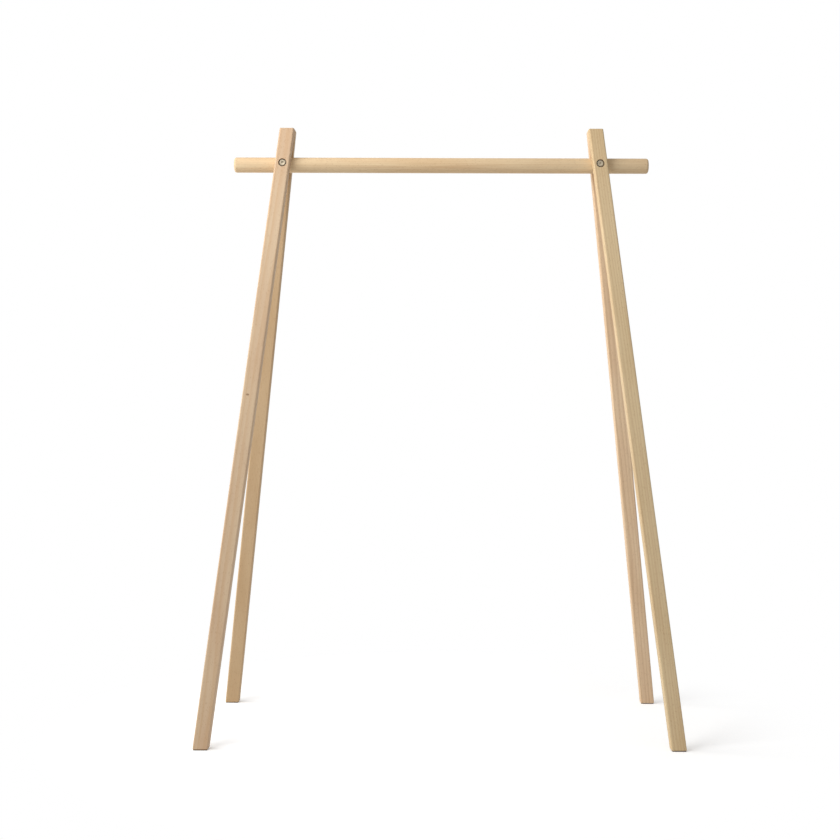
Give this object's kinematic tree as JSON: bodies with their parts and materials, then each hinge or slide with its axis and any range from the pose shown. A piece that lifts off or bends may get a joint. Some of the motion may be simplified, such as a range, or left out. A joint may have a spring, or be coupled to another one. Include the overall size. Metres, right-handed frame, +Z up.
{
  "type": "clothes rack",
  "caption": "Wooden clothes rack: a round rail clamped between leaning pairs of square legs by recessed bolts, with felt pads under the feet.",
  "frame": {"origin": "on the floor, under the middle of the rail", "axes": "+X along the rail to the right, +Y to the back, away from the bolt heads, +Z up"},
  "size_m": [1.1562, 0.5308, 1.5],
  "materials": {
    "rail_wood": "satin oiled beech",
    "leg_wood": "satin oiled beech",
    "zinc_steel": "zinc plated",
    "felt": "pressed wool felt"
  },
  "bodies": {
    "rack": {"rail": "rail_wood", "front_left_leg": "leg_wood", "front_right_leg": "leg_wood", "back_left_leg": "leg_wood", "back_right_leg": "leg_wood", "front_left_foot_pad": "felt", "front_right_foot_pad": "felt", "back_left_foot_pad": "felt", "back_right_foot_pad": "felt", "left_sleeve_nut": "zinc_steel", "left_back_washer": "zinc_steel", "right_sleeve_nut": "zinc_steel", "right_back_washer": "zinc_steel"},
    "left_washer": {"left_front_washer": "zinc_steel"},
    "left_bolt": {"left_bolt": "zinc_steel"},
    "right_washer": {"right_front_washer": "zinc_steel"},
    "right_bolt": {"right_bolt": "zinc_steel"}
  },
  "joints": [
    {"name": "left_bolt_travel", "type": "slide", "parent": "rack", "child": "left_washer", "axis": [0, -1, 0], "range_m": [0, 0.0175]},
    {"name": "left_bolt_turn", "type": "hinge", "parent": "left_washer", "child": "left_bolt", "pos_m": [-0.397, 0, 1.411], "axis": [0, -1, 0], "range_deg": [0, 5043]},
    {"name": "right_bolt_travel", "type": "slide", "parent": "rack", "child": "right_washer", "axis": [0, -1, 0], "range_m": [0, 0.0175]},
    {"name": "right_bolt_turn", "type": "hinge", "parent": "right_washer", "child": "right_bolt", "pos_m": [0.397, 0, 1.411], "axis": [0, -1, 0], "range_deg": [0, 5043]}
  ],
  "couplings": [
    {"joint": "left_bolt_turn", "follows": "left_bolt_travel", "rad_per_m": 5026.5},
    {"joint": "right_bolt_turn", "follows": "right_bolt_travel", "rad_per_m": 5026.5}
  ]
}
